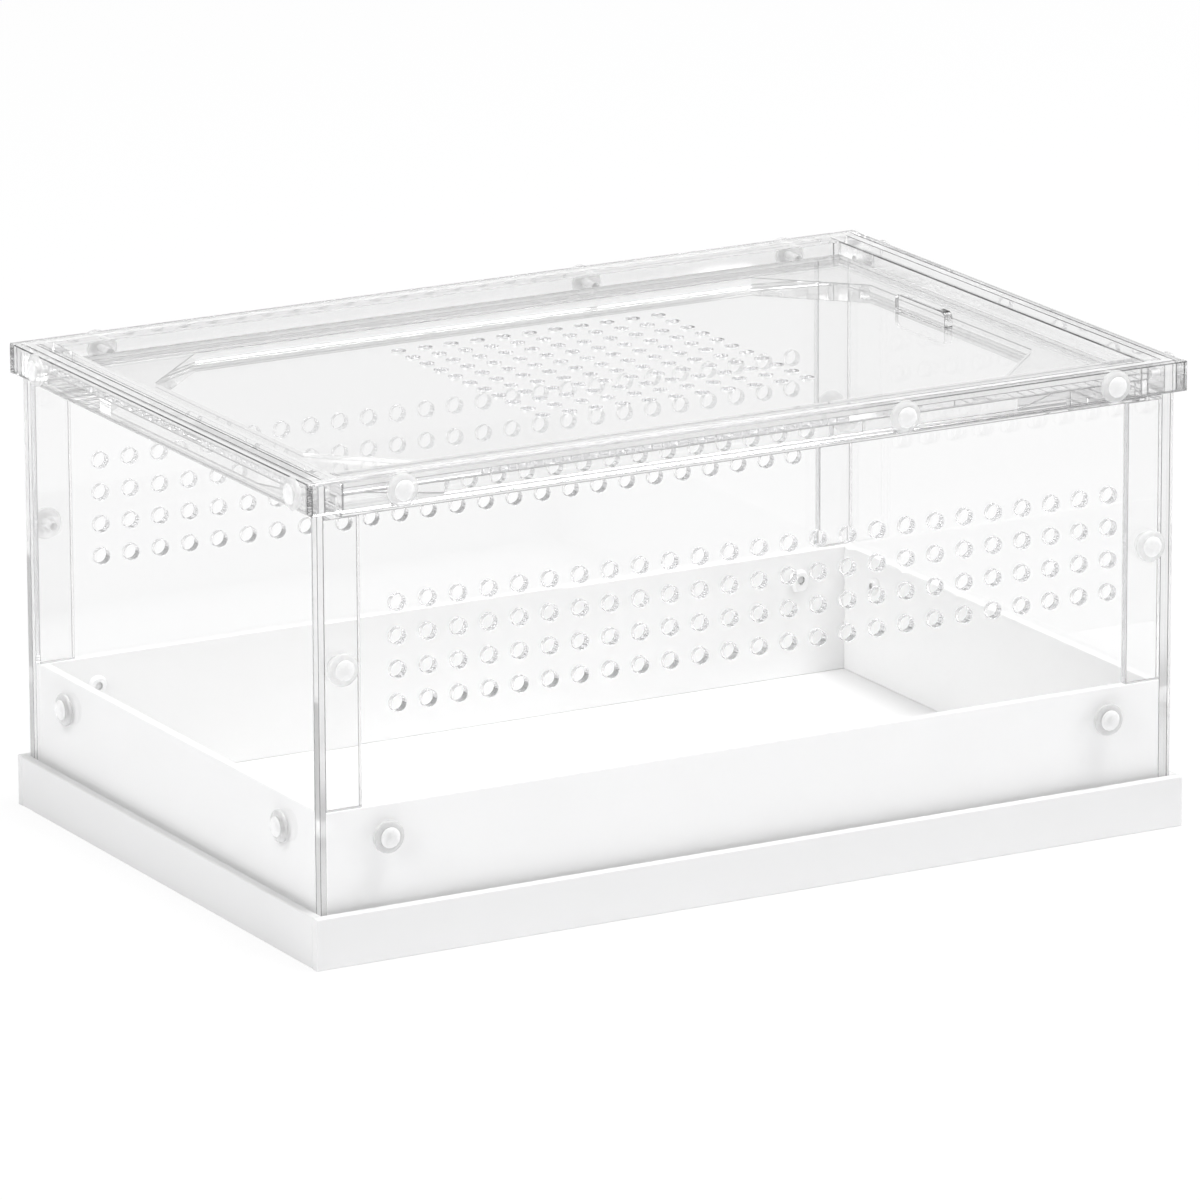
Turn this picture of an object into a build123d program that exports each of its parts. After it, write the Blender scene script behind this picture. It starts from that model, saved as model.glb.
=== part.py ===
"""Clear reptile terrarium on a white plinth, with a lift-out vented lid.

Millimetres, +Z up. The origin is the centre of the underside: X runs along
the long side, Y along the depth, and the front wall faces -Y.
"""

import os

from build123d import *

# Overall sizes
LENGTH = 300.0  # outer length of the plinth and of the rim
DEPTH = 200.0  # outer depth of the plinth and of the rim
HEIGHT = 147.3  # underside to the top of the rim
SHEET = 3.0  # thickness of every cut sheet strip and wall

# White base
PLINTH_HEIGHT = 16.0
FLOOR_THICKNESS = 5.0
TRAY_TOP = 46.5  # height of the white inner tray wall

# Rim at the top of the clear walls
TRIM_HEIGHT = 9.3  # outer strip
BAR_HEIGHT = 12.0  # inner bar
BAR_THICKNESS = 6.0
EDGE_BREAK = 0.3  # small chamfer on the long rim edges

# Ledge that carries the lid
LEDGE_DROP = 6.0  # rim top down to the top of the ledge
LEDGE_THICKNESS = 6.0
LEDGE_WIDTH = 12.2  # rim bar face to the opening
LEDGE_CORNER = 27.5  # cut across each inner corner

# Lid
LID_THICKNESS = 2.0
LID_CLEARANCE = 0.3  # gap between the lid and the rim bars, each side
LID_VENT_DIAMETER = 4.4
LID_VENT_PITCH = 9.15
LID_VENT_COUNT = 11
GRIP_LENGTH = 30.0
GRIP_HEIGHT = 5.2
GRIP_INSET = 20.0  # rim bar face to the outer face of the grip
GRIP_CORNER = 2.0

# Vents in the front and back walls
VENT_DIAMETER = 5.0
VENT_PITCH = 10.2
VENT_COLUMNS = 25
VENT_ROWS = 4
VENT_TOP_DROP = 39.6  # rim top down to the top row
VENT_OFFSET = 2.0  # the wall and lid fields sit this far towards +X

# Corner strips on the inner faces of the front and back walls
CORNER_WIDTH = 12.0

# Push rivets
HEAD_DIAMETER = 10.0
HEAD_THICKNESS = 1.5
HEAD_EDGE = 0.8  # straight edge of the head before the dome
SHANK_DIAMETER = 5.0
BORE_DIAMETER = 2.6
CAP_DIAMETER = 6.4
CAP_THICKNESS = 1.1
PIN_DIAMETER = 2.5
RIVET_CLEARANCE = 0.1  # radial gap between a shank and its hole
TAIL_DIAMETER = 6.6
TAIL_THICKNESS = 1.2
RIM_SHANK_LENGTH = 9.0  # these end blind inside the rim bar
RIM_HOLE_EXTRA = 0.5

# Rivet positions: setbacks count from the outer end of the strip or wall
TRAY_RIVET_SETBACK_X = 22.5
TRAY_RIVET_SETBACK_Y = 25.3
TRAY_RIVET_DROP = 9.5  # tray top down to the rivet
CORNER_RIVET_SETBACK = 5.0
CORNER_RIVET_DROP = 57.3  # rim top down to the rivet
RIM_RIVET_SETBACK_LEFT = 29.6
RIM_RIVET_SETBACK_RIGHT = 26.0
RIM_RIVET_SETBACK_FRONT = 11.5
RIM_RIVET_SETBACK_BACK = 19.0
RIM_RIVET_MIDDLE = 50.0  # third rivet of the long sides, right of centre
RIM_RIVET_DROP = 4.6  # rim top down to the rivet

# Planes that follow from the sizes above
OUT_X = LENGTH / 2
OUT_Y = DEPTH / 2
WALL_X = OUT_X - SHEET
WALL_Y = OUT_Y - SHEET
INNER_X = WALL_X - SHEET
INNER_Y = WALL_Y - SHEET
BAR_X = INNER_X - BAR_THICKNESS
BAR_Y = INNER_Y - BAR_THICKNESS
LEDGE_TOP = HEIGHT - LEDGE_DROP
LEDGE_BOTTOM = LEDGE_TOP - LEDGE_THICKNESS
LID_TOP = LEDGE_TOP + LID_THICKNESS
TRAY_RIVET_Z = TRAY_TOP - TRAY_RIVET_DROP
CORNER_RIVET_X = INNER_X - CORNER_RIVET_SETBACK
CORNER_RIVET_Z = HEIGHT - CORNER_RIVET_DROP
RIM_RIVET_Z = HEIGHT - RIM_RIVET_DROP

FRONT_SITE = Plane(origin=(0, 0, 0), x_dir=(1, 0, 0), z_dir=(0, -1, 0))
BACK_SITE = Plane(origin=(0, 0, 0), x_dir=(-1, 0, 0), z_dir=(0, 1, 0))
RIGHT_SITE = Plane(origin=(0, 0, 0), x_dir=(0, 1, 0), z_dir=(1, 0, 0))
LEFT_SITE = Plane(origin=(0, 0, 0), x_dir=(0, -1, 0), z_dir=(-1, 0, 0))


def save(shape, name):
    """Write one node, labelled with its own name."""
    shape.label = name
    export_step(shape, f"parts/{name}.step")


def block(x_span, y_span, z_span):
    """Box between two limits on each axis."""
    spans = (x_span, y_span, z_span)
    size = [high - low for low, high in spans]
    middle = [(high + low) / 2 for low, high in spans]
    return Pos(*middle) * Box(*size)


def ring_strips(outer_x, outer_y, thickness, z_span):
    """Four strips of a frame: front and back run full length, sides fit between."""
    inner_x = outer_x - thickness
    inner_y = outer_y - thickness
    return {
        "front": block((-outer_x, outer_x), (-outer_y, -inner_y), z_span),
        "back": block((-outer_x, outer_x), (inner_y, outer_y), z_span),
        "left": block((-outer_x, -inner_x), (-inner_y, inner_y), z_span),
        "right": block((inner_x, outer_x), (-inner_y, inner_y), z_span),
    }


def rim_bars():
    """Inner bars of the rim: the sides run full depth, front and back fit between."""
    z_span = (HEIGHT - BAR_HEIGHT, HEIGHT)
    return {
        "front": block((-BAR_X, BAR_X), (-INNER_Y, -BAR_Y), z_span),
        "back": block((-BAR_X, BAR_X), (BAR_Y, INNER_Y), z_span),
        "left": block((-INNER_X, -BAR_X), (-INNER_Y, INNER_Y), z_span),
        "right": block((BAR_X, INNER_X), (-INNER_Y, INNER_Y), z_span),
    }


def soften_top(strip):
    """Small chamfer round the top face of a strip."""
    return chamfer(strip.faces().sort_by(Axis.Z)[-1].edges(), EDGE_BREAK)


def rivet_sites(kind):
    """Sites of one rivet set on each side, each looking outwards along its Z."""
    front = []
    side = []
    if kind == "tray":
        half_x = WALL_X - TRAY_RIVET_SETBACK_X
        half_y = WALL_Y - TRAY_RIVET_SETBACK_Y
        front = [(x, TRAY_RIVET_Z) for x in (-half_x, half_x)]
        side = [(y, TRAY_RIVET_Z) for y in (-half_y, half_y)]
        reach_x, reach_y = WALL_X, WALL_Y
    elif kind == "corner":
        front = [(x, CORNER_RIVET_Z) for x in (-CORNER_RIVET_X, CORNER_RIVET_X)]
        reach_x, reach_y = WALL_X, WALL_Y
    else:
        row_x = (RIM_RIVET_SETBACK_LEFT - OUT_X, RIM_RIVET_MIDDLE, OUT_X - RIM_RIVET_SETBACK_RIGHT)
        row_y = (RIM_RIVET_SETBACK_FRONT - OUT_Y, OUT_Y - RIM_RIVET_SETBACK_BACK)
        front = [(x, RIM_RIVET_Z) for x in row_x]
        side = [(y, RIM_RIVET_Z) for y in row_y]
        reach_x, reach_y = OUT_X, OUT_Y
    return {
        "front": [FRONT_SITE * Pos(x, z, reach_y) for x, z in front],
        "back": [BACK_SITE * Pos(-x, z, reach_y) for x, z in front],
        "left": [LEFT_SITE * Pos(-y, z, reach_x) for y, z in side],
        "right": [RIGHT_SITE * Pos(y, z, reach_x) for y, z in side],
    }


def rivet_depth(kind):
    """Length of the shank under the head."""
    if kind == "rim":
        return RIM_SHANK_LENGTH
    return 2 * SHEET + TAIL_THICKNESS


def drill(piece, side, kinds):
    """Cut the shank holes of the given rivet sets through one piece."""
    radius = SHANK_DIAMETER / 2 + RIVET_CLEARANCE
    for kind in kinds:
        depth = rivet_depth(kind) + RIM_HOLE_EXTRA
        for site in rivet_sites(kind)[side]:
            piece = piece - site * Pos(0, 0, -depth / 2) * Cylinder(radius, depth)
    return piece


def revolved(points):
    """Solid of revolution about Z from (radius, height) points."""
    outline = make_face(Polyline([(r, 0, h) for r, h in points], close=True))
    return revolve(outline, Axis.Z, 360)


def rivet_sleeve(kind):
    """Hollow rivet body: domed head outside, shank, and a tail where it comes through."""
    bore = BORE_DIAMETER / 2
    shank = SHANK_DIAMETER / 2
    head = HEAD_DIAMETER / 2
    cap = CAP_DIAMETER / 2
    depth = rivet_depth(kind)
    points = [(bore, HEAD_THICKNESS), (cap, HEAD_THICKNESS)]
    points += [(head - 0.4, HEAD_EDGE + 0.25), (head, HEAD_EDGE), (head, 0), (shank, 0)]
    if kind == "rim":
        points += [(shank, -depth), (bore, -depth)]
    else:
        tail = TAIL_DIAMETER / 2
        through = -2 * SHEET
        points += [(shank, through), (tail, through), (shank, -depth), (bore, -depth)]
    return revolved(points)


def rivet_pin(kind):
    """Push pin: domed cap on the sleeve head and a stem down its bore."""
    stem = PIN_DIAMETER / 2
    cap = CAP_DIAMETER / 2
    base = HEAD_THICKNESS
    top = base + CAP_THICKNESS
    tip = -rivet_depth(kind) + 0.6
    points = [(0, top), (cap * 0.55, top - 0.12), (cap * 0.85, top - 0.42), (cap, base + 0.3)]
    points += [(cap, base), (stem, base), (stem, tip), (0, tip)]
    return revolved(points)


def place_all(shape, kind):
    """Every copy of one rivet piece in a set."""
    sites = [site for group in rivet_sites(kind).values() for site in group]
    return Compound(children=[site * shape for site in sites])


def wall_vents():
    """Cutters of the vent field that the front and back walls share."""
    middle = HEIGHT - VENT_TOP_DROP - VENT_PITCH * (VENT_ROWS - 1) / 2
    grid = GridLocations(VENT_PITCH, VENT_PITCH, VENT_COLUMNS, VENT_ROWS)
    field = FRONT_SITE * Pos(VENT_OFFSET, middle, 0)
    return [field * spot * Cylinder(VENT_DIAMETER / 2, DEPTH + SHEET) for spot in grid]


def ledge_frame():
    """Flat ledge with cut inner corners, butted between the rim bars."""
    hole_x = 2 * (BAR_X - LEDGE_WIDTH)
    hole_y = 2 * (BAR_Y - LEDGE_WIDTH)
    hole = Rectangle(hole_x, hole_y)
    hole = chamfer(hole.vertices(), LEDGE_CORNER)
    face = Rectangle(2 * BAR_X, 2 * BAR_Y) - hole
    return extrude(Pos(0, 0, LEDGE_BOTTOM) * face, LEDGE_THICKNESS)


def lid_panel():
    """Drop-in lid with its square vent field."""
    length = 2 * (BAR_X - LID_CLEARANCE)
    depth = 2 * (BAR_Y - LID_CLEARANCE)
    face = Rectangle(length, depth)
    grid = GridLocations(LID_VENT_PITCH, LID_VENT_PITCH, LID_VENT_COUNT, LID_VENT_COUNT)
    face = face - Pos(VENT_OFFSET, 0) * grid * Circle(LID_VENT_DIAMETER / 2)
    return extrude(Pos(0, 0, LEDGE_TOP) * face, LID_THICKNESS)


def lid_grip():
    """Upright finger strip on the lid, near its right end."""
    face = Rectangle(GRIP_LENGTH, GRIP_HEIGHT)
    top = face.vertices().group_by(Axis.Y)[-1]
    face = fillet(top, GRIP_CORNER)
    site = RIGHT_SITE * Pos(0, LID_TOP + GRIP_HEIGHT / 2, BAR_X - GRIP_INSET)
    return site * extrude(face, -SHEET)


os.makedirs("parts", exist_ok=True)

floor = block((-WALL_X, WALL_X), (-WALL_Y, WALL_Y), (0, FLOOR_THICKNESS))
save(floor, "base_floor_panel")

for side, strip in ring_strips(OUT_X, OUT_Y, SHEET, (0, PLINTH_HEIGHT)).items():
    save(soften_top(strip), f"plinth_{side}")

vents = wall_vents()
for side, wall in ring_strips(WALL_X, WALL_Y, SHEET, (FLOOR_THICKNESS, HEIGHT)).items():
    if side in ("front", "back"):
        wall = wall - vents
    save(drill(wall, side, ("tray", "corner", "rim")), f"wall_{side}")

for side, wall in ring_strips(INNER_X, INNER_Y, SHEET, (FLOOR_THICKNESS, TRAY_TOP)).items():
    save(drill(wall, side, ("tray",)), f"tray_wall_{side}")

strip_z = (TRAY_TOP, HEIGHT - BAR_HEIGHT)
for side, y_span in (("front", (-INNER_Y, SHEET - INNER_Y)), ("back", (INNER_Y - SHEET, INNER_Y))):
    left_end = (-INNER_X, CORNER_WIDTH - INNER_X)
    right_end = (INNER_X - CORNER_WIDTH, INNER_X)
    for end, x_span in (("left", left_end), ("right", right_end)):
        strip = drill(block(x_span, y_span, strip_z), side, ("corner",))
        save(strip, f"corner_strip_{side}_{end}")

for side, trim in ring_strips(OUT_X, OUT_Y, SHEET, (HEIGHT - TRIM_HEIGHT, HEIGHT)).items():
    save(drill(soften_top(trim), side, ("rim",)), f"rim_trim_{side}")

for side, bar in rim_bars().items():
    save(drill(soften_top(bar), side, ("rim",)), f"rim_bar_{side}")

save(ledge_frame(), "lid_ledge_frame")
save(lid_panel(), "lid_panel")
save(lid_grip(), "lid_grip_strip")

for kind in ("tray", "corner", "rim"):
    save(place_all(rivet_sleeve(kind), kind), f"rivet_sleeves_{kind}")
    save(place_all(rivet_pin(kind), kind), f"rivet_pins_{kind}")
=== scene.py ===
"""Looks of the clear reptile terrarium: cut acrylic sheets, a white base and push rivets."""

import functools
import logging
import math
from dataclasses import dataclass, field
from enum import Enum, IntEnum

import bmesh
import bpy
from mathutils import Matrix, Vector


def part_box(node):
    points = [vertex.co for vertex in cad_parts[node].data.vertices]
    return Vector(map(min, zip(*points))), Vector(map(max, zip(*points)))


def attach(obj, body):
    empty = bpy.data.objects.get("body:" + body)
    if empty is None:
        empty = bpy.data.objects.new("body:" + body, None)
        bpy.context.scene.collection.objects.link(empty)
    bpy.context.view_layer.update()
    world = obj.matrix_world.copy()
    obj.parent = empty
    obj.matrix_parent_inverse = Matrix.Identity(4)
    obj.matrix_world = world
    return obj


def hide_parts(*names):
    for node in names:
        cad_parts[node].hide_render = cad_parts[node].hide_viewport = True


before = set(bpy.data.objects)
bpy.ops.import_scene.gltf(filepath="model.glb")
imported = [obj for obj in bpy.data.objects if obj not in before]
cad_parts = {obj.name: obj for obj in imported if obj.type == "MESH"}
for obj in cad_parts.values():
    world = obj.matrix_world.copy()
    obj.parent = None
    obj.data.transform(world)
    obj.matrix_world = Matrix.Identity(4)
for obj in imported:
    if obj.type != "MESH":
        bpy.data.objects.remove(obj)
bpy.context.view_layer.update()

LOG = logging.getLogger("terrarium")

# A corner of a flat drawing, or radius and height in a half section.
Point = tuple[float, float]
# Place along a side, place across it, and radius, all in millimetres.
Hole = tuple[float, float, float]
# Point under a rivet's head and the direction that the head looks in.
Seat = tuple[Vector, Vector]

MM = 0.001
WHITE = (1.0, 1.0, 1.0, 1.0)
EYE_RAYS = ("Is Camera Ray", "Is Transmission Ray", "Is Glossy Ray")
LAMP_RAYS = ("Is Shadow Ray", "Is Diffuse Ray")

# Length, width and thickness directions of a flat piece, by the axis that its thickness runs along.
CUTTING_PLANES = (
    Matrix(((0, 1, 0), (0, 0, 1), (1, 0, 0))),
    Matrix(((1, 0, 0), (0, 0, 1), (0, -1, 0))),
    Matrix(((1, 0, 0), (0, 1, 0), (0, 0, 1))),
)


class Body(Enum):
    """Rigid bodies of the terrarium."""

    ENCLOSURE = "enclosure"
    LID = "lid"


class Slot(Enum):
    """Material slots of the record."""

    ACRYLIC = "clear_acrylic"
    SHEET = "white_sheet"
    NYLON = "frosted_nylon"


class Side(Enum):
    """Sides of the box, as the names of the nodes give them."""

    FRONT = "front"
    BACK = "back"
    LEFT = "left"
    RIGHT = "right"

    @property
    def is_long(self) -> bool:
        """Whether the side runs along the terrarium's length."""
        return self in (Side.FRONT, Side.BACK)

    @property
    def outward(self) -> int:
        """Sign of the direction out of the box."""
        return -1 if self in (Side.FRONT, Side.LEFT) else 1


class RivetSet(Enum):
    """Sets of push rivets, as the names of the nodes give them."""

    TRAY = "tray"
    CORNER = "corner"
    RIM = "rim"


class Skin(IntEnum):
    """Places of the finishes in the material list of a clear sheet."""

    FACE = 0
    HOLE = 1
    ARRIS = 2
    OUTLINE = 3
    BOND = 4


class MixSocket(IntEnum):
    """Socket numbers of the Mix node where it mixes two colours."""

    FACTOR = 0
    RESULT = 2
    FIRST = 6
    SECOND = 7


def linear(hex_colour: str) -> tuple[float, float, float, float]:
    """Turn an sRGB hex colour into linear light.

    Args:
        hex_colour: Six hex digits with a leading hash.

    Returns:
        Linear red, green and blue, with an alpha of one.
    """
    parts = [int(hex_colour[i : i + 2], 16) / 255 for i in (1, 3, 5)]
    red, green, blue = [c / 12.92 if c <= 0.04045 else ((c + 0.055) / 1.055) ** 2.4 for c in parts]
    return (red, green, blue, 1.0)


def per_mm(size: float) -> float:
    """Texture scale at which one pattern cell is about this many millimetres wide."""
    return 1.0 / (size * MM)


def add_node(
    tree: bpy.types.NodeTree, kind: str, links: dict | None = None, **settings: object
) -> bpy.types.Node:
    """Add one shader node, set it up and link its inputs.

    Args:
        tree: Node tree that gets the node.
        kind: Blender's name of the node type.
        links: Input socket name or index to the output socket that feeds it.
        **settings: Node properties, or input values under the socket's name with spaces as "_".

    Returns:
        The new node.
    """
    node = tree.nodes.new(kind)
    sockets = {s.name.replace(" ", "_"): s for s in reversed(node.inputs)}
    for name, value in settings.items():
        if name in sockets:
            sockets[name].default_value = value
        else:
            setattr(node, name, value)
    for name, source in (links or {}).items():
        tree.links.new(source, node.inputs[name])
    return node


def empty_material(name: str) -> tuple[bpy.types.Material, bpy.types.NodeTree]:
    """Make a material with a bare node tree.

    Args:
        name: Name of the material.

    Returns:
        The material and its node tree.
    """
    material = bpy.data.materials.new(name)
    material.use_nodes = True
    material.node_tree.nodes.clear()
    return material, material.node_tree


def ray_is_any(tree: bpy.types.NodeTree, kinds: tuple[str, ...]) -> bpy.types.NodeSocket:
    """Tell rays of some kinds from all others.

    Args:
        tree: Node tree that asks.
        kinds: Light Path outputs to look for.

    Returns:
        Socket that is one for a ray of any of these kinds, and zero for other rays.
    """
    path = add_node(tree, "ShaderNodeLightPath")
    found = path.outputs[kinds[0]]
    for kind in kinds[1:]:
        either = add_node(tree, "ShaderNodeMath", {0: found, 1: path.outputs[kind]}, operation="MAXIMUM")
        found = either.outputs[0]
    return found


@dataclass(frozen=True)
class Grain:
    """Fine unevenness of a face: it varies the gloss and softens the highlights."""

    cell_mm: float
    smoother: float
    rougher: float
    strength: float
    depth_mm: float
    detail: float = 2.0

    def sockets(
        self, tree: bpy.types.NodeTree, place: bpy.types.NodeSocket, roughness: float
    ) -> dict[str, bpy.types.NodeSocket]:
        """Build the unevenness for one material.

        Args:
            tree: Node tree of the material.
            place: Socket with the place on the object.
            roughness: Roughness that the grain varies.

        Returns:
            What feeds the surface's roughness and normal.
        """
        noise = add_node(
            tree, "ShaderNodeTexNoise", {"Vector": place}, Scale=per_mm(self.cell_mm), Detail=self.detail
        )
        height = noise.outputs["Fac"]
        gloss = add_node(
            tree,
            "ShaderNodeMapRange",
            {"Value": height},
            To_Min=roughness - self.smoother,
            To_Max=roughness + self.rougher,
        )
        bump = add_node(
            tree, "ShaderNodeBump", {"Height": height}, Strength=self.strength, Distance=self.depth_mm * MM
        )
        return {"Roughness": gloss.outputs[0], "Normal": bump.outputs[0]}


@dataclass(frozen=True)
class CastAcrylic:
    """Clear cast acrylic, polished by the mould: glass-clear faces with sharp reflections."""

    name: str = "cast_acrylic_clear"
    tint: str = "#FCFCFC"
    ior: float = 1.49
    roughness: float = 0.0
    clear_share: float = 1.0

    def make(self) -> bpy.types.Material:
        """Build the material: it refracts what is seen and lets the lamps' light straight through.

        Returns:
            The material.
        """
        material, tree = empty_material(self.name)
        clear = add_node(
            tree,
            "ShaderNodeBsdfPrincipled",
            Base_Color=linear(self.tint),
            Roughness=self.roughness,
            IOR=self.ior,
            Transmission_Weight=self.clear_share,
        )
        through = add_node(tree, "ShaderNodeBsdfTransparent")
        lit = ray_is_any(tree, LAMP_RAYS)
        mixed = add_node(tree, "ShaderNodeMixShader", {0: lit, 1: clear.outputs[0], 2: through.outputs[0]})
        add_node(tree, "ShaderNodeOutputMaterial", {"Surface": mixed.outputs[0]})
        return material


@dataclass(frozen=True)
class FrostedShadedCutEdge(CastAcrylic):
    """Vent walls and strip outlines as the laser left them: a fine frost, with a soft grey tint that is
    painted shade.
    """

    name: str = "cast_acrylic_laser_cut"
    # Grey tint: painted shade; only the roughness stands for the real frost.
    tint: str = "#E4E4E5"
    roughness: float = 0.08
    clear_share: float = 0.74


@dataclass(frozen=True)
class FlamePolishedEdge(CastAcrylic):
    """Outline of a wall after the torch: nearly clear, with a pale veil in the thickness."""

    name: str = "cast_acrylic_flame_polished"
    tint: str = "#F3F3F3"
    roughness: float = 0.14
    clear_share: float = 0.50


@dataclass(frozen=True)
class PaintedShadeArris(CastAcrylic):
    """Corner between face and edge: it throws the light aside, and its dark grey tint is painted shade
    that draws a thin grey line.
    """

    name: str = "cast_acrylic_scraped_arris"
    # Dark grey tint: painted shade, a grey line drawn along each arris.
    tint: str = "#707071"
    roughness: float = 0.08
    clear_share: float = 0.70


@dataclass(frozen=True)
class SolventBond:
    """Solvent-welded contact of two acrylic pieces: light crosses it without bending."""

    name: str = "acrylic_solvent_bond"
    tint: str = "#FEFEFE"

    def make(self) -> bpy.types.Material:
        """Build the material: the joint itself is invisible, only its outline shows.

        Returns:
            The material.
        """
        material, tree = empty_material(self.name)
        clear = add_node(tree, "ShaderNodeBsdfTransparent", Color=linear(self.tint))
        add_node(tree, "ShaderNodeOutputMaterial", {"Surface": clear.outputs[0]})
        return material


@dataclass(frozen=True)
class RigidPvcSheet:
    """White rigid PVC sheet, rolled: an even satin face with a very fine tooth."""

    name: str = "rigid_pvc_white"
    colour: str = "#F0F0F0"
    shade: str = "#ECECEC"
    ior: float = 1.53
    roughness: float = 0.42
    mottle_mm: float = 45.0
    mottle_detail: float = 3.0
    # The real tooth is finer than a tenth of a millimetre, and is drawn coarser so that it shows.
    tooth: Grain = Grain(cell_mm=0.6, smoother=0.04, rougher=0.06, strength=0.05, depth_mm=0.02)

    def make(self) -> bpy.types.Material:
        """Build the material: faint mottling of the roll and the fine tooth in the satin.

        Returns:
            The material.
        """
        material, tree = empty_material(self.name)
        place = add_node(tree, "ShaderNodeTexCoord").outputs["Object"]
        mottle = add_node(
            tree,
            "ShaderNodeTexNoise",
            {"Vector": place},
            Scale=per_mm(self.mottle_mm),
            Detail=self.mottle_detail,
        )
        tone = add_node(tree, "ShaderNodeMix", {MixSocket.FACTOR: mottle.outputs["Fac"]}, data_type="RGBA")
        tone.inputs[MixSocket.FIRST].default_value = linear(self.colour)
        tone.inputs[MixSocket.SECOND].default_value = linear(self.shade)
        satin = self.tooth.sockets(tree, place, self.roughness)
        surface = add_node(
            tree,
            "ShaderNodeBsdfPrincipled",
            {"Base Color": tone.outputs[MixSocket.RESULT], **satin},
            IOR=self.ior,
        )
        add_node(tree, "ShaderNodeOutputMaterial", {"Surface": surface.outputs[0]})
        return material


@dataclass(frozen=True)
class FoamPvcStrip(RigidPvcSheet):
    """Foamed PVC strip of the plinth, sawn: a shade duller than the tray's solid sheet."""

    name: str = "foam_pvc_sawn"
    colour: str = "#E2E2E2"
    shade: str = "#DFDFDF"
    roughness: float = 0.55


@dataclass(frozen=True)
class NaturalNylon:
    """Natural nylon, injection moulded: a milky veil over what lies behind, with a dull gloss."""

    name: str = "nylon_moulded_natural"
    colour: str = "#FCFCFC"
    ior: float = 1.53
    roughness: float = 0.26
    veil_flat: float = 0.62
    veil_edge: float = 0.95
    veil_blend: float = 0.35
    flow: Grain = Grain(cell_mm=2.5, smoother=0.06, rougher=0.08, strength=0.08, depth_mm=0.05)

    def make(self) -> bpy.types.Material:
        """Build the material: a thin milky veil that thickens towards the outline of each head.

        Returns:
            The material.
        """
        material, tree = empty_material(self.name)
        place = add_node(tree, "ShaderNodeTexCoord").outputs["Object"]
        milky = add_node(
            tree,
            "ShaderNodeBsdfPrincipled",
            self.flow.sockets(tree, place, self.roughness),
            Base_Color=linear(self.colour),
            IOR=self.ior,
        )
        clear = add_node(tree, "ShaderNodeBsdfTransparent")
        turn = add_node(tree, "ShaderNodeLayerWeight", Blend=self.veil_blend)
        veil = add_node(
            tree,
            "ShaderNodeMapRange",
            {"Value": turn.outputs["Facing"]},
            To_Min=self.veil_flat,
            To_Max=self.veil_edge,
        )
        mixed = add_node(
            tree, "ShaderNodeMixShader", {0: veil.outputs[0], 1: clear.outputs[0], 2: milky.outputs[0]}
        )
        add_node(tree, "ShaderNodeOutputMaterial", {"Surface": mixed.outputs[0]})
        return material


@dataclass(frozen=True)
class ShadedSleeveNylon(NaturalNylon):
    """Nylon of the sleeves, coloured greyer than the pins: painted shade, so that a ring shows round each
    cap.
    """

    name: str = "nylon_moulded_sleeve"
    # Greyer colour: painted shade on the ring round each cap.
    colour: str = "#E0E0E0"
    veil_flat: float = 0.50


@dataclass(frozen=True)
class WettedNylon(NaturalNylon):
    """Nylon shanks that fill their holes in the acrylic: hardly any surface is left to see."""

    name: str = "nylon_moulded_wetted"
    veil_flat: float = 0.05
    veil_edge: float = 0.30


@dataclass(frozen=True)
class PaleFloor:
    """Matt pale studio sweep: it keeps a soft shadow and reads as white to the eye."""

    name: str = "paper_sweep_pale"
    colour: str = "#F7F7F8"
    glow_share: float = 0.9

    def make(self) -> bpy.types.Material:
        """Build the material: matt paper, lifted to white where it is seen, straight or through a sheet.

        Returns:
            The material.
        """
        material, tree = empty_material(self.name)
        paper = add_node(tree, "ShaderNodeBsdfDiffuse", Color=linear(self.colour))
        glow = add_node(tree, "ShaderNodeEmission", Color=WHITE, Strength=1.0)
        share = add_node(tree, "ShaderNodeMath", {0: ray_is_any(tree, EYE_RAYS)}, operation="MULTIPLY")
        share.inputs[1].default_value = self.glow_share
        mixed = add_node(
            tree, "ShaderNodeMixShader", {0: share.outputs[0], 1: paper.outputs[0], 2: glow.outputs[0]}
        )
        add_node(tree, "ShaderNodeOutputMaterial", {"Surface": mixed.outputs[0]})
        return material


@functools.cache
def node_box(node: str) -> tuple[Vector, Vector]:
    """Lowest and highest corner of a CAD node, measured once."""
    low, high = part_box(node)
    return Vector(low), Vector(high)


def finish_mesh(mesh: bpy.types.Mesh, sharp_degrees: float) -> None:
    """Shade a mesh smooth, but keep its cut edges crisp.

    Args:
        mesh: Mesh to shade.
        sharp_degrees: Edges that turn more than this stay sharp.
    """
    mesh.shade_smooth()
    mesh.set_sharp_from_angle(angle=math.radians(sharp_degrees))


def show(mesh: bpy.types.Mesh, name: str, body: Body, slot: Slot, *nodes: str) -> bpy.types.Object:
    """Put a mesh in the scene in place of CAD nodes.

    Args:
        mesh: Finished mesh, in the row frame.
        name: Name of the piece.
        body: Rigid body that it rides on.
        slot: Record slot of its finish; not used.
        *nodes: CAD nodes that it stands for.

    Returns:
        The new object.
    """
    piece = bpy.data.objects.new(name, mesh)
    bpy.context.collection.objects.link(piece)
    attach(piece, body.value)
    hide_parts(*nodes)
    return piece


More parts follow.
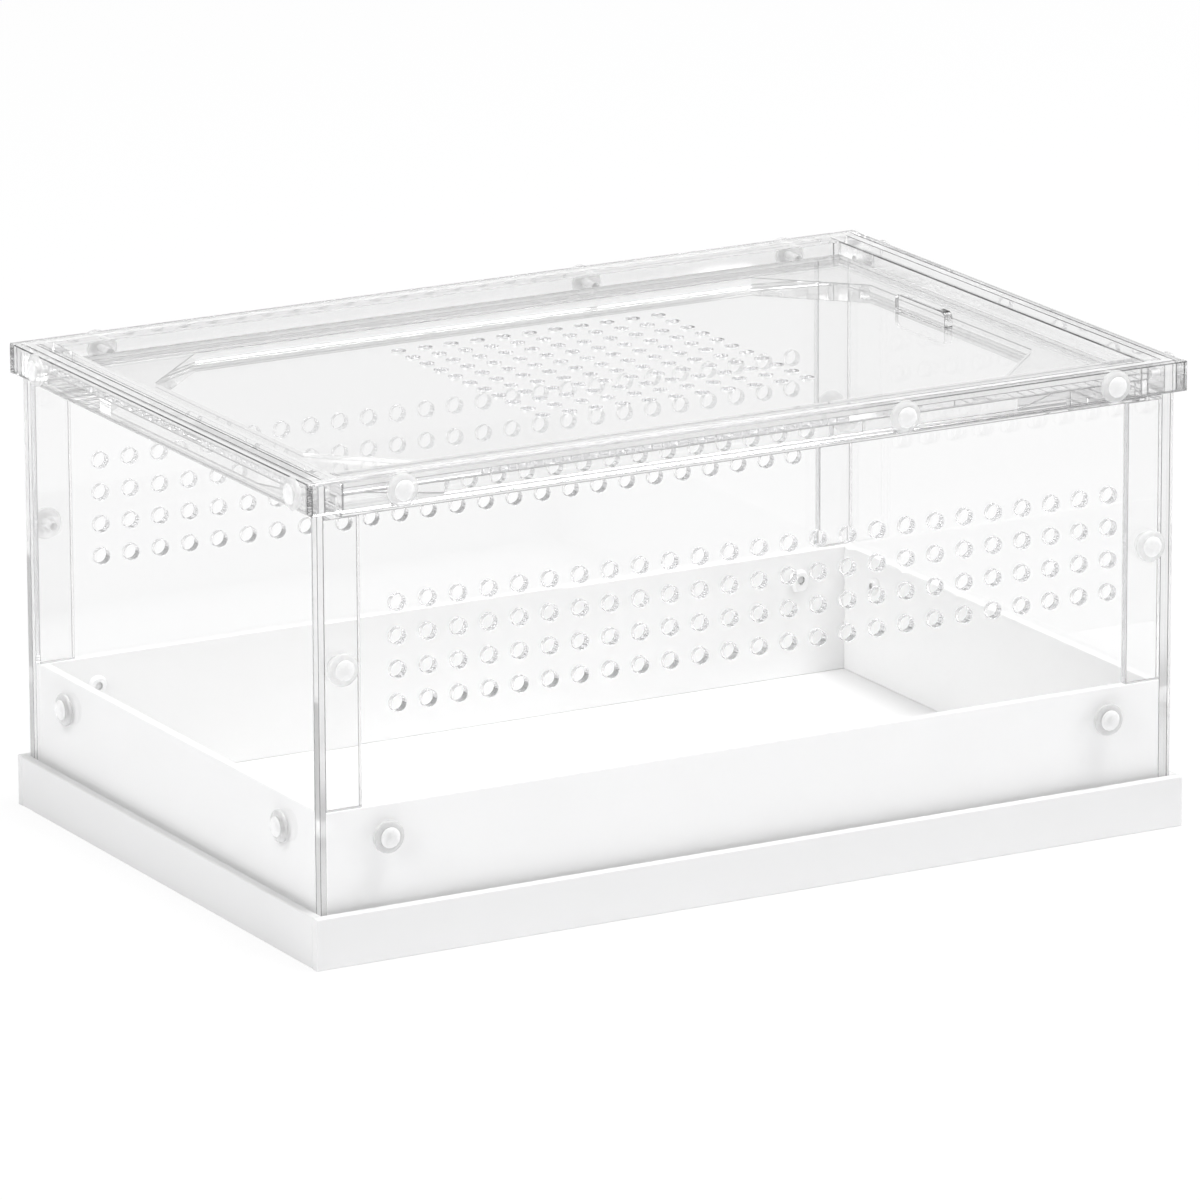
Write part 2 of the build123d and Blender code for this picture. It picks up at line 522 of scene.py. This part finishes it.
@dataclass(frozen=True)
class Opening:
    """Cut-cornered opening of a frame, in millimetres."""

    border: float
    corner_cut: float

    def points(self, half_u: float, half_v: float, edge: float) -> list[Point]:
        """Outline of the opening, clockwise.

        Args:
            half_u: Half the frame's length in metres.
            half_v: Half the frame's width in metres.
            edge: Width of the broken edge in metres.

        Returns:
            Points of the closed line, in metres.
        """
        cut = self.corner_cut * MM
        inner_u = half_u - self.border * MM + edge
        inner_v = half_v - self.border * MM + edge
        right = [
            (inner_u - cut, inner_v),
            (inner_u, inner_v - cut),
            (inner_u, cut - inner_v),
            (inner_u - cut, -inner_v),
        ]
        return right + [(-u, v) for u, v in reversed(right)]


@dataclass
class CutSheet:
    """One flat piece cut from sheet, as large as its CAD node, with broken edges and round holes."""

    node: str
    material: bpy.types.Material
    slot: Slot
    body: Body = Body.ENCLOSURE
    holes: list[Hole] = field(default_factory=list)
    edge_material: bpy.types.Material | None = None
    arris_material: bpy.types.Material | None = None
    outline_material: bpy.types.Material | None = None
    bond_material: bpy.types.Material | None = None
    glued_to: tuple[str, ...] = ()
    opening: Opening | None = None
    edge_mm: float = 0.25
    corner_round_mm: float = 0.0
    corner_steps: int = 8
    hole_sides: int = 40
    sharp_degrees: float = 25.0
    # Faces stay this far inside the node, so that pieces that touch never share a face.
    skin_mm: float = 0.02
    # A wall nearer than this to the end of the sheet belongs to its outline, any other to a hole.
    outline_margin_mm: float = 1.0
    # A face is part of a contact where it lies within this distance of the neighbour's box.
    contact_mm: float = 0.15
    # How far a face's normal leans along the thickness: less on a cut wall, more on a flat face.
    wall_lean: float = 0.2
    face_lean: float = 0.9
    # The normal of a contact follows one axis at least this closely.
    contact_lean: float = 0.99

    def thin_axis(self) -> int:
        """Find the axis that the sheet's thickness runs along.

        Returns:
            Index of the axis.
        """
        low, high = node_box(self.node)
        extents = list(high - low)
        return extents.index(min(extents))

    def flat_frame(self) -> Matrix:
        """Lay the cutting plane through the middle of the node.

        Returns:
            Matrix from the cutting plane (length, width, thickness) to the row frame.
        """
        low, high = node_box(self.node)
        turn = CUTTING_PLANES[self.thin_axis()].transposed().to_4x4()
        return Matrix.Translation((low + high) / 2) @ turn

    def outline(self, half_u: float, half_v: float) -> list[Point]:
        """Corners of the sheet, anticlockwise, with the two upper ones rounded where asked.

        Args:
            half_u: Half the length in the cutting plane.
            half_v: Half the width in the cutting plane.

        Returns:
            Points of the closed outline.
        """
        radius = self.corner_round_mm * MM
        points = [(-half_u, -half_v), (half_u, -half_v)]
        if radius == 0:
            return points + [(half_u, half_v), (-half_u, half_v)]
        quarter = math.pi / 2
        level = half_v - radius
        for centre, start in ((half_u - radius, 0.0), (radius - half_u, quarter)):
            for step in range(self.corner_steps + 1):
                angle = start + step * quarter / self.corner_steps
                points.append((centre + radius * math.cos(angle), level + radius * math.sin(angle)))
        return points

    def hole_line(self, from_row: Matrix, hole: Hole, edge: float) -> list[Point]:
        """Outline of a round hole, clockwise.

        Args:
            from_row: Matrix from the row frame to the cutting plane.
            hole: Place and radius in millimetres.
            edge: Width of the broken edge in metres.

        Returns:
            Points of the closed circle.
        """
        across, up, radius_mm = hole
        radius = radius_mm * MM + edge
        centre = [across, up]
        centre.insert(self.thin_axis(), 0)
        u, v, _ = from_row @ (Vector(centre) * MM)
        turns = [-i * math.tau / self.hole_sides for i in range(self.hole_sides)]
        return [(u + radius * math.cos(a), v + radius * math.sin(a)) for a in turns]

    def drawing(self, to_row: Matrix) -> bpy.types.Curve:
        """Draw the outline, the opening and the holes, and give the drawing its thickness.

        Args:
            to_row: Matrix from the cutting plane to the row frame.

        Returns:
            Flat curve with a thickness and broken edges.
        """
        low, high = node_box(self.node)
        half_u, half_v, half_w = (abs(c) / 2 for c in to_row.to_3x3().transposed() @ (high - low))
        edge = self.edge_mm * MM
        inset = self.skin_mm * MM
        lines = [self.outline(half_u - inset - edge, half_v - inset - edge)]
        if self.opening:
            lines.append(self.opening.points(half_u, half_v, edge))
        from_row = to_row.inverted()
        lines += [self.hole_line(from_row, hole, edge) for hole in self.holes]
        curve = bpy.data.curves.new(self.node, "CURVE")
        curve.dimensions = "2D"
        curve.fill_mode = "BOTH"
        curve.bevel_depth = edge
        curve.bevel_resolution = 0
        curve.extrude = half_w - inset - edge
        for line in lines:
            spline = curve.splines.new("POLY")
            spline.points.add(len(line) - 1)
            for target, (u, v) in zip(spline.points, line):
                target.co = (u, v, 0, 1)
            spline.use_cyclic_u = True
        return curve

    def mesh(self) -> bpy.types.Mesh:
        """Cut the sheet and dress its faces, edges and contacts.

        Returns:
            The finished mesh, in the row frame.
        """
        to_row = self.flat_frame()
        holder = bpy.data.objects.new(self.node, self.drawing(to_row))
        bpy.context.collection.objects.link(holder)
        cut = holder.evaluated_get(bpy.context.evaluated_depsgraph_get())
        shaped = bpy.data.meshes.new_from_object(cut)
        bpy.data.objects.remove(holder)
        self.mark_edges(shaped)
        shaped.transform(to_row)
        self.mark_bonds(shaped)
        finish_mesh(shaped, self.sharp_degrees)
        return shaped

    def mark_edges(self, mesh: bpy.types.Mesh) -> None:
        """Give a clear sheet's hole walls, arrises and outline their own finishes; the grey of the hole
        walls and arrises is painted shade.

        Args:
            mesh: Mesh of the sheet, still in the cutting plane.
        """
        mesh.materials.clear()
        mesh.materials.append(self.material)
        if self.edge_material is None:
            return
        mesh.materials.append(self.edge_material)
        mesh.materials.append(self.arris_material)
        mesh.materials.append(self.outline_material or self.material)
        margin = self.outline_margin_mm * MM
        reach_u = max(v.co.x for v in mesh.vertices) - margin
        reach_v = max(v.co.y for v in mesh.vertices) - margin
        for face in mesh.polygons:
            in_hole = abs(face.center.x) < reach_u and abs(face.center.y) < reach_v and not self.opening
            lean = abs(face.normal.z)
            # Faces between the flat faces and the walls are the arrises, which take the dark tint of
            # painted shade.
            if self.wall_lean < lean < self.face_lean and not in_hole:
                face.material_index = Skin.ARRIS
            elif lean < self.face_lean:
                face.material_index = Skin.HOLE if in_hole else Skin.OUTLINE

    def split_along(self, shape: bmesh.types.BMesh, neighbour: str) -> None:
        """Cut the faces along the outline of a neighbour's box.

        Args:
            shape: Mesh of the sheet, in the row frame.
            neighbour: CAD node that touches the sheet.
        """
        low, high = node_box(self.node)
        margin = self.contact_mm * MM
        for corner in node_box(neighbour):
            for axis in range(3):
                if low[axis] + margin < corner[axis] < high[axis] - margin:
                    normal = Vector([float(i == axis) for i in range(3)])
                    every = shape.verts[:] + shape.edges[:] + shape.faces[:]
                    bmesh.ops.bisect_plane(shape, geom=every, plane_co=corner, plane_no=normal)

    def mark_bonds(self, mesh: bpy.types.Mesh) -> None:
        """Give the contacts with glued neighbours their own finish.

        Args:
            mesh: Mesh of the sheet, in the row frame.
        """
        if not self.glued_to:
            return
        mesh.materials.append(self.bond_material)
        shape = bmesh.new()
        shape.from_mesh(mesh)
        margin = Vector((self.contact_mm,) * 3) * MM
        for neighbour in self.glued_to:
            self.split_along(shape, neighbour)
            low, high = node_box(neighbour)
            least, most = low - margin, high + margin
            for face in shape.faces:
                centre = face.calc_center_median()
                inside = all(least[i] < centre[i] < most[i] for i in range(3))
                if inside and max(map(abs, face.normal)) > self.contact_lean:
                    face.material_index = Skin.BOND
        shape.to_mesh(mesh)
        shape.free()

    def build(self) -> bpy.types.Object:
        """Cut the sheet and put it in the scene."""
        return show(self.mesh(), f"{self.node}_sheet", self.body, self.slot, self.node)


@dataclass
class RivetPlan:
    """Where the rivets sit, in millimetres from the middle of a side and from the ground."""

    tray_long: float = 124.5
    tray_short: float = 71.7
    tray_height: float = 37.0
    corner_reach: float = 139.0
    corner_height: float = 90.0
    rim_long: tuple[float, ...] = (-120.4, 50.0, 124.0)
    rim_short: tuple[float, ...] = (-88.5, 81.0)
    rim_height: float = 142.7
    hole_radius: float = 2.6

    def places(self, kind: RivetSet, side: Side) -> list[Point]:
        """Places of one set on one side, along the side and up, in millimetres.

        Args:
            kind: Set of rivets.
            side: Side of the box.

        Returns:
            Pairs of place along the side and height.
        """
        if kind is RivetSet.TRAY:
            reach = self.tray_long if side.is_long else self.tray_short
            return [(-reach, self.tray_height), (reach, self.tray_height)]
        if kind is RivetSet.RIM:
            along_side = self.rim_long if side.is_long else self.rim_short
            return [(along, self.rim_height) for along in along_side]
        if side.is_long:
            return [(-self.corner_reach, self.corner_height), (self.corner_reach, self.corner_height)]
        return []

    def seats(self, kind: RivetSet) -> list[Seat]:
        """Seat every rivet of a set on the outer face of the piece that carries its head.

        Args:
            kind: Set of rivets.

        Returns:
            Seat and outward direction of each rivet.
        """
        carrier = "rim_trim" if kind is RivetSet.RIM else "wall"
        seats = []
        for side in Side:
            low, high = node_box(f"{carrier}_{side.value}")
            face = high if side.outward > 0 else low
            for along, up in self.places(kind, side):
                if side.is_long:
                    seats.append((Vector((along * MM, face.y, up * MM)), Vector((0, side.outward, 0))))
                else:
                    seats.append((Vector((face.x, along * MM, up * MM)), Vector((side.outward, 0, 0))))
        return seats

    def holes(self, kind: RivetSet, side: Side) -> list[Hole]:
        """Shank holes that a set needs in a piece of one side."""
        return [(along, up, self.hole_radius) for along, up in self.places(kind, side)]


@dataclass
class PushRivets:
    """One set of push rivets: turned sleeves with domed heads, and pins with domed caps.

    Radii and heights over the seat are in millimetres.
    """

    kind: RivetSet
    plan: RivetPlan
    sleeve_material: bpy.types.Material
    pin_material: bpy.types.Material
    shank_material: bpy.types.Material
    through: float
    tail: float
    bore: float = 1.3
    bore_top: float = 1.25
    shank: float = 2.5
    # The underside of a head stays this far off the sheet.
    lift: float = 0.03
    head_rim: float = 4.9
    head_dome: tuple[Point, ...] = (
        (3.3, 1.5),
        (4.0, 1.42),
        (4.55, 1.2),
        (4.88, 0.95),
        (5.0, 0.7),
        (5.0, 0.12),
    )
    # Radius and depth behind the sheet of the two corners where the tail is widest.
    flare: tuple[Point, ...] = ((3.25, 0.03), (3.3, 0.15))
    cap_dome: tuple[Point, ...] = (
        (0.0, 2.6),
        (1.0, 2.57),
        (1.9, 2.45),
        (2.6, 2.22),
        (3.05, 1.9),
        (3.19, 1.7),
        (3.19, 1.56),
        (3.1, 1.52),
    )
    pin: float = 1.24
    pin_top: float = 1.5
    pin_point: float = 1.0
    pin_taper: float = 0.2
    # The pin ends this far inside its sleeve.
    pin_short: float = 0.6
    # A face that lies wholly below this height is part of the shank.
    shank_top: float = 0.04
    weld: float = 0.001
    segments: int = 40
    sharp_degrees: float = 40.0

    def sleeve_profile(self) -> list[Point]:
        """Draw the half section of a sleeve, from its bore over the head and down the shank.

        Returns:
            Radius and height points.
        """
        tip = -self.through - self.tail
        profile = [(self.bore, self.bore_top), *self.head_dome, (self.head_rim, self.lift)]
        profile += [(self.shank, self.lift), (self.shank, -self.through)]
        if self.tail > 0:
            profile += [(radius, -self.through - depth) for radius, depth in self.flare]
            profile.append((self.shank, tip))
        profile.append((self.bore, tip))
        return profile

    def pin_profile(self) -> list[Point]:
        """Draw the half section of a pin, from the middle of its cap down to its point.

        Returns:
            Radius and height points.
        """
        tip = self.pin_short - self.through - self.tail
        stem = [(self.pin, self.pin_top), (self.pin, tip + self.pin_taper)]
        return [*self.cap_dome, *stem, (self.pin_point, tip), (0.0, tip)]

    def turned(self, profile: list[Point], closed: bool) -> tuple[list, list]:
        """Turn a half section about its axis.

        Args:
            profile: Radius and height points in millimetres.
            closed: Whether the section closes on itself, as on a hollow piece.

        Returns:
            Vertices in metres and faces.
        """
        vertices = []
        angles = [i * math.tau / self.segments for i in range(self.segments)]
        for radius, height in profile:
            reach = radius * MM
            vertices += [(reach * math.cos(a), reach * math.sin(a), height * MM) for a in angles]
        count = len(profile)
        faces = []
        for ring in range(count if closed else count - 1):
            here = ring * self.segments
            following = (ring + 1) % count * self.segments
            for i in range(self.segments):
                k = (i + 1) % self.segments
                faces.append((here + i, following + i, following + k, here + k))
        return vertices, faces

    def mesh(
        self, name: str, profile: list[Point], closed: bool, head: bpy.types.Material
    ) -> bpy.types.Mesh:
        """Make all copies of one turned piece as a single mesh.

        Args:
            name: Name of the mesh.
            profile: Half section in millimetres.
            closed: Whether the section closes on itself.
            head: Finish of what stands above the seat.

        Returns:
            The mesh, with the shank's finish below the seat.
        """
        vertices, faces = self.turned(profile, closed)
        below = [all(vertices[i][2] < self.shank_top * MM for i in face) for face in faces]
        every_vertex = []
        every_face = []
        seats = self.plan.seats(self.kind)
        for seat, outward in seats:
            turn = outward.to_track_quat("Z", "Y").to_matrix()
            start = len(every_vertex)
            every_vertex += [seat + turn @ Vector(v) for v in vertices]
            every_face += [tuple(start + i for i in face) for face in faces]
        mesh = bpy.data.meshes.new(name)
        mesh.from_pydata(every_vertex, [], every_face)
        shape = bmesh.new()
        shape.from_mesh(mesh)
        bmesh.ops.remove_doubles(shape, verts=shape.verts, dist=self.weld * MM)
        bmesh.ops.recalc_face_normals(shape, faces=shape.faces)
        shape.to_mesh(mesh)
        shape.free()
        finish_mesh(mesh, self.sharp_degrees)
        mesh.materials.append(head)
        mesh.materials.append(self.shank_material)
        for face, sunk in zip(mesh.polygons, below * len(seats)):
            face.material_index = int(sunk)
        return mesh

    def build(self) -> list[bpy.types.Object]:
        """Turn both pieces of the set and seat every copy.

        Returns:
            The sleeves and the pins.
        """
        sleeves = f"rivet_sleeves_{self.kind.value}"
        pins = f"rivet_pins_{self.kind.value}"
        sleeve = self.mesh(f"{sleeves}_turned", self.sleeve_profile(), True, self.sleeve_material)
        pin = self.mesh(f"{pins}_turned", self.pin_profile(), False, self.pin_material)
        return [
            show(sleeve, sleeve.name, Body.ENCLOSURE, Slot.NYLON, sleeves),
            show(pin, pin.name, Body.ENCLOSURE, Slot.NYLON, pins),
        ]


@dataclass
class WhiteBase:
    """White floor panel, plinth skirt and inner tray. The edges are in millimetres."""

    tray: bpy.types.Material
    plinth: bpy.types.Material
    plan: RivetPlan
    plinth_edge: float = 0.3
    tray_edge: float = 0.2

    def build(self) -> list[bpy.types.Object]:
        """Cut the floor, the four plinth strips and the four tray walls.

        Returns:
            The pieces of the base.
        """
        pieces = [CutSheet("base_floor_panel", self.tray, Slot.SHEET)]
        for side in Side:
            holes = self.plan.holes(RivetSet.TRAY, side)
            wall = f"tray_wall_{side.value}"
            pieces += [
                CutSheet(f"plinth_{side.value}", self.plinth, Slot.SHEET, edge_mm=self.plinth_edge),
                CutSheet(wall, self.tray, Slot.SHEET, holes=holes, edge_mm=self.tray_edge),
            ]
        return [piece.build() for piece in pieces]


@dataclass
class ClearWalls:
    """Four clear walls, with a vent field in the front and back ones, and the corner strips.

    The rivet shanks fill their holes, so the clear pieces close round them. The vent field is in
    millimetres.
    """

    cut: functools.partial
    polished: bpy.types.Material
    # Strip outline finish: real frost, with a grey tint that is painted shade.
    sawn: bpy.types.Material
    columns: int = 25
    rows: int = 4
    pitch: float = 10.2
    radius: float = 2.5
    offset: float = 2.0
    top_row: float = 107.7

    def vents(self) -> list[Hole]:
        """Vent holes of one long wall."""
        across = [self.offset + (i - (self.columns - 1) / 2) * self.pitch for i in range(self.columns)]
        return [(x, self.top_row - j * self.pitch, self.radius) for x in across for j in range(self.rows)]

    def build(self) -> list[bpy.types.Object]:
        """Cut the walls and the corner strips.

        Returns:
            The clear pieces below the rim.
        """
        pieces = []
        for side in Side:
            holes = self.vents() if side.is_long else []
            pieces.append(self.cut(f"wall_{side.value}", holes=holes, outline_material=self.polished))
        for side in (Side.FRONT, Side.BACK):
            for end in (Side.LEFT, Side.RIGHT):
                strip = f"corner_strip_{side.value}_{end.value}"
                pieces.append(self.cut(strip, outline_material=self.sawn))
        return [piece.build() for piece in pieces]


@dataclass
class Rim:
    """Outer trim strips, inner bars and the ledge that carries the lid, with edges in millimetres."""

    cut: functools.partial
    opening: Opening = Opening(border=12.2, corner_cut=27.5)
    strip_edge: float = 0.3
    ledge_edge: float = 0.25

    def build(self) -> list[bpy.types.Object]:
        """Cut the trim strips, the bars and the ledge frame.

        Returns:
            The pieces of the rim.
        """
        ledge = "lid_ledge_frame"
        bars = tuple(f"rim_bar_{side.value}" for side in Side)
        pieces = []
        for side, bar in zip(Side, bars):
            pieces += [
                self.cut(f"rim_trim_{side.value}", edge_mm=self.strip_edge),
                self.cut(bar, edge_mm=self.strip_edge, glued_to=(ledge,)),
            ]
        pieces.append(self.cut(ledge, opening=self.opening, glued_to=bars, edge_mm=self.ledge_edge))
        return [piece.build() for piece in pieces]


@dataclass
class Lid:
    """Lift-out lid: the vented panel and its finger strip. The sizes are in millimetres."""

    cut: functools.partial
    count: int = 11
    pitch: float = 9.15
    radius: float = 2.2
    offset: float = 2.0
    grip_round: float = 2.0

    def vents(self) -> list[Hole]:
        """Vent holes of the lid."""
        line = [(i - (self.count - 1) / 2) * self.pitch for i in range(self.count)]
        return [(x + self.offset, y, self.radius) for x in line for y in line]

    def build(self) -> list[bpy.types.Object]:
        """Cut the panel and the finger strip.

        Returns:
            The pieces of the lid.
        """
        panel = "lid_panel"
        grip = "lid_grip_strip"
        pieces = (
            self.cut(panel, body=Body.LID, holes=self.vents(), glued_to=(grip,)),
            self.cut(grip, body=Body.LID, corner_round_mm=self.grip_round, glued_to=(panel,)),
        )
        return [piece.build() for piece in pieces]


@dataclass(frozen=True)
class SoftBox:
    """One square lamp: where it hangs and the side of its face in metres, and its power."""

    name: str
    place: tuple[float, float, float]
    size: float
    watts: float

    def hang(self, aim: Vector) -> None:
        """Hang the lamp so that it looks at a point.

        Args:
            aim: Point that it looks at, in metres.
        """
        light = bpy.data.lights.new(self.name, "AREA")
        light.shape = "SQUARE"
        light.size = self.size
        light.energy = self.watts
        lamp = bpy.data.objects.new(self.name, light)
        spot = Vector(self.place)
        turn = (spot - aim).to_track_quat("Z", "Y")
        lamp.matrix_world = Matrix.Translation(spot) @ turn.to_matrix().to_4x4()
        bpy.context.collection.objects.link(lamp)


@dataclass
class Studio:
    """Pale floor, soft lamps, white surroundings and the camera.

    Angles are in degrees. The surroundings are white at eye height and fade upwards and to behind
    the camera, between the given heights and depths of the direction that is looked in.
    """

    camera_mm: tuple[float, float, float] = (-1455.2, -2615.4, 894.3)
    azimuth: float = -29.11
    elevation: float = 15.42
    roll: float = -0.22
    lens_mm: float = 303.38
    sensor_mm: float = 36.0
    far_m: float = 60.0
    floor_m: float = 14.0
    floor_gap_mm: float = 0.02
    aim_height_m: float = 0.07
    lamps: tuple[SoftBox, ...] = (
        SoftBox("key", place=(0.7, -0.5, 2.4), size=1.2, watts=47.0),
        SoftBox("side", place=(2.2, -1.3, 0.9), size=0.7, watts=9.0),
        SoftBox("fill", place=(-1.9, -0.6, 1.2), size=1.4, watts=21.0),
    )
    ambient: float = 0.45
    ceiling: float = 0.64
    ceiling_from: float = 0.10
    ceiling_full: float = 0.40
    behind: float = 0.4
    behind_full: float = -0.5
    # Light crosses many faces here, and a path that is cut short turns the edges of the sheets dark.
    sheet_bounces: int = 96
    mirror_bounces: int = 48

    def add_camera(self) -> None:
        """Stand the camera where the photograph was taken."""
        lens = bpy.data.cameras.new("view")
        lens.lens = self.lens_mm
        lens.sensor_width = self.sensor_mm
        lens.clip_end = self.far_m
        camera = bpy.data.objects.new("view", lens)
        turn = math.radians(self.azimuth)
        tilt = math.radians(90 - self.elevation)
        camera.matrix_world = (
            Matrix.Translation(Vector(self.camera_mm) * MM)
            @ Matrix.Rotation(turn, 4, "Z")
            @ Matrix.Rotation(tilt, 4, "X")
            @ Matrix.Rotation(math.radians(self.roll), 4, "Z")
        )
        bpy.context.collection.objects.link(camera)
        bpy.context.scene.camera = camera

    def add_world(self) -> None:
        """White at eye height to the eye and through the sheets, softer as a light source."""
        world = bpy.data.worlds.new("white_studio")
        world.use_nodes = True
        tree = world.node_tree
        tree.nodes.clear()
        soft = add_node(tree, "ShaderNodeBackground", Color=WHITE, Strength=self.ambient)
        look = add_node(tree, "ShaderNodeTexCoord").outputs["Generated"]
        way = add_node(tree, "ShaderNodeSeparateXYZ", {"Vector": look})
        up = add_node(
            tree,
            "ShaderNodeMapRange",
            {"Value": way.outputs["Z"]},
            From_Min=self.ceiling_from,
            From_Max=self.ceiling_full,
            To_Min=1.0,
            To_Max=self.ceiling,
        )
        back = add_node(
            tree,
            "ShaderNodeMapRange",
            {"Value": way.outputs["Y"]},
            From_Min=0.0,
            From_Max=self.behind_full,
            To_Min=1.0,
            To_Max=self.behind,
        )
        fade = add_node(
            tree, "ShaderNodeMath", {0: up.outputs[0], 1: back.outputs[0]}, operation="MULTIPLY"
        )
        seen = add_node(tree, "ShaderNodeBackground", {"Strength": fade.outputs[0]}, Color=WHITE)
        eye = ray_is_any(tree, EYE_RAYS)
        mixed = add_node(tree, "ShaderNodeMixShader", {0: eye, 1: soft.outputs[0], 2: seen.outputs[0]})
        add_node(tree, "ShaderNodeOutputWorld", {"Surface": mixed.outputs[0]})
        bpy.context.scene.world = world

    def add_floor(self) -> None:
        """Lay the pale floor under the plinth."""
        half = self.floor_m / 2
        mesh = bpy.data.meshes.new("studio_floor")
        corners = [(-half, -half, 0), (half, -half, 0), (half, half, 0), (-half, half, 0)]
        mesh.from_pydata(corners, [], [(0, 1, 2, 3)])
        mesh.materials.append(PaleFloor().make())
        floor = bpy.data.objects.new("studio_floor", mesh)
        floor.location.z = -self.floor_gap_mm * MM
        bpy.context.collection.objects.link(floor)

    def build(self) -> None:
        """Set up the whole studio."""
        scene = bpy.context.scene
        scene.view_settings.view_transform = "Standard"
        scene.cycles.max_bounces = self.sheet_bounces
        scene.cycles.transmission_bounces = self.sheet_bounces
        scene.cycles.glossy_bounces = self.mirror_bounces
        scene.cycles.transparent_max_bounces = self.mirror_bounces
        self.add_camera()
        self.add_world()
        self.add_floor()
        for lamp in self.lamps:
            lamp.hang(Vector((0, 0, self.aim_height_m)))


def main() -> None:
    """Build every part of the terrarium and its studio, and log each piece that is made."""
    logging.basicConfig(level=logging.INFO, format="%(message)s")
    plan = RivetPlan()
    tray = RigidPvcSheet().make()
    frost_and_shade_edge = FrostedShadedCutEdge().make()
    cut = functools.partial(
        CutSheet,
        material=CastAcrylic().make(),
        slot=Slot.ACRYLIC,
        # Hole walls carry a grey tint that is painted shade, over a real frost.
        edge_material=frost_and_shade_edge,
        # Arrises carry a dark grey tint that is painted shade.
        arris_material=PaintedShadeArris().make(),
        bond_material=SolventBond().make(),
        edge_mm=0.15,
    )
    rivets = functools.partial(
        PushRivets,
        plan=plan,
        # Sleeves are greyer than the pins: painted shade round each cap.
        sleeve_material=ShadedSleeveNylon().make(),
        pin_material=NaturalNylon().make(),
    )
    wetted = WettedNylon().make()
    parts = (
        WhiteBase(tray, FoamPvcStrip().make(), plan),
        ClearWalls(cut, FlamePolishedEdge().make(), frost_and_shade_edge),
        Rim(cut),
        Lid(cut),
        rivets(RivetSet.TRAY, shank_material=tray, through=6.0, tail=1.2),
        rivets(RivetSet.CORNER, shank_material=wetted, through=6.0, tail=1.2),
        rivets(RivetSet.RIM, shank_material=wetted, through=9.0, tail=0.0),
    )
    for part in parts:
        for piece in part.build():
            LOG.info("%s made %s", type(part).__name__, piece.name)
    Studio().build()


if __name__ == "__main__":
    main()
